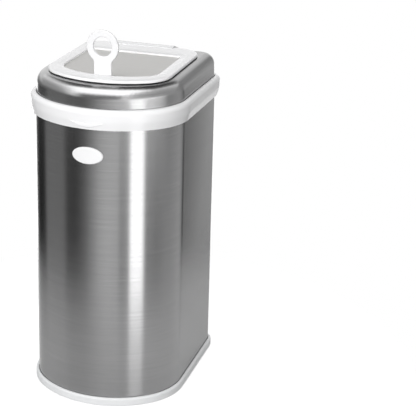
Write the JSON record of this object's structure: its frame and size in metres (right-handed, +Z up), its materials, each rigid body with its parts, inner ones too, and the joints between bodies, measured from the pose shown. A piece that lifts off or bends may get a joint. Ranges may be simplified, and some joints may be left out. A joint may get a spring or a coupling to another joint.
{
  "type": "litter disposal pail",
  "caption": "Litter disposal pail: brushed steel body with bowed front, hinged domed lid with flap and ring handle, lift-out bag ring, and a slotted scoop hung on the back.",
  "frame": {"origin": "on the floor under the middle of the body, at the bottom of the middle foot", "axes": "+Z up, -Y towards the bowed front, +X to the right seen from the front"},
  "size_m": [0.2406, 0.3168, 0.5621],
  "materials": {
    "white_shell": "glossy white moulding",
    "white_satin": "satin white moulding",
    "brushed_steel": "sheet brushed across, round the body",
    "plain_steel": "bright zinc-plated steel",
    "rubber": "matt black rubber"
  },
  "bodies": {
    "pail": {"base_tray": "white_shell", "rubber_feet": "rubber", "body_shell": "brushed_steel", "rim_frame": "white_satin", "badge": "white_shell", "badge_clips": "plain_steel", "hinge_bracket": "white_shell", "bracket_screws": "plain_steel", "backing_plate": "plain_steel", "bracket_nuts": "plain_steel", "scoop_peg": "plain_steel", "lid_pin": "plain_steel"},
    "lid": {"lid_collar": "white_shell", "lid_dome": "brushed_steel", "window_chute": "white_satin", "lid_liner": "white_satin", "lid_screws": "plain_steel", "lid_seal": "rubber", "hinge_housing": "white_shell", "flap_pin": "plain_steel", "pin_caps": "white_satin"},
    "flap": {"flap_frame": "white_shell", "flap_panel": "brushed_steel", "flap_backing": "white_satin", "flap_screws": "plain_steel", "block_screws": "plain_steel", "flap_seal": "rubber", "ring_handle": "white_shell", "handle_screws": "plain_steel", "hinge_block": "white_shell"},
    "bag_hoop": {"bag_ring": "white_satin"},
    "litter_scoop": {"scoop": "white_satin"}
  },
  "joints": [
    {"name": "lid_hinge", "type": "hinge", "parent": "pail", "child": "lid", "pos_m": [0, 0.1505, 0.448], "axis": [-1, 0, 0], "range_deg": [0, 95]},
    {"name": "flap_hinge", "type": "hinge", "parent": "lid", "child": "flap", "pos_m": [0, 0.136, 0.482], "axis": [-1, 0, 0], "range_deg": [0, 105]},
    {"name": "bag_ring_lift", "type": "slide", "parent": "pail", "child": "bag_hoop", "axis": [0, 0, 1], "range_m": [0, 0.018]},
    {"name": "scoop_lift_off", "type": "slide", "parent": "pail", "child": "litter_scoop", "axis": [0, 0.866, 0.5], "range_m": [0, 0.04]}
  ]
}
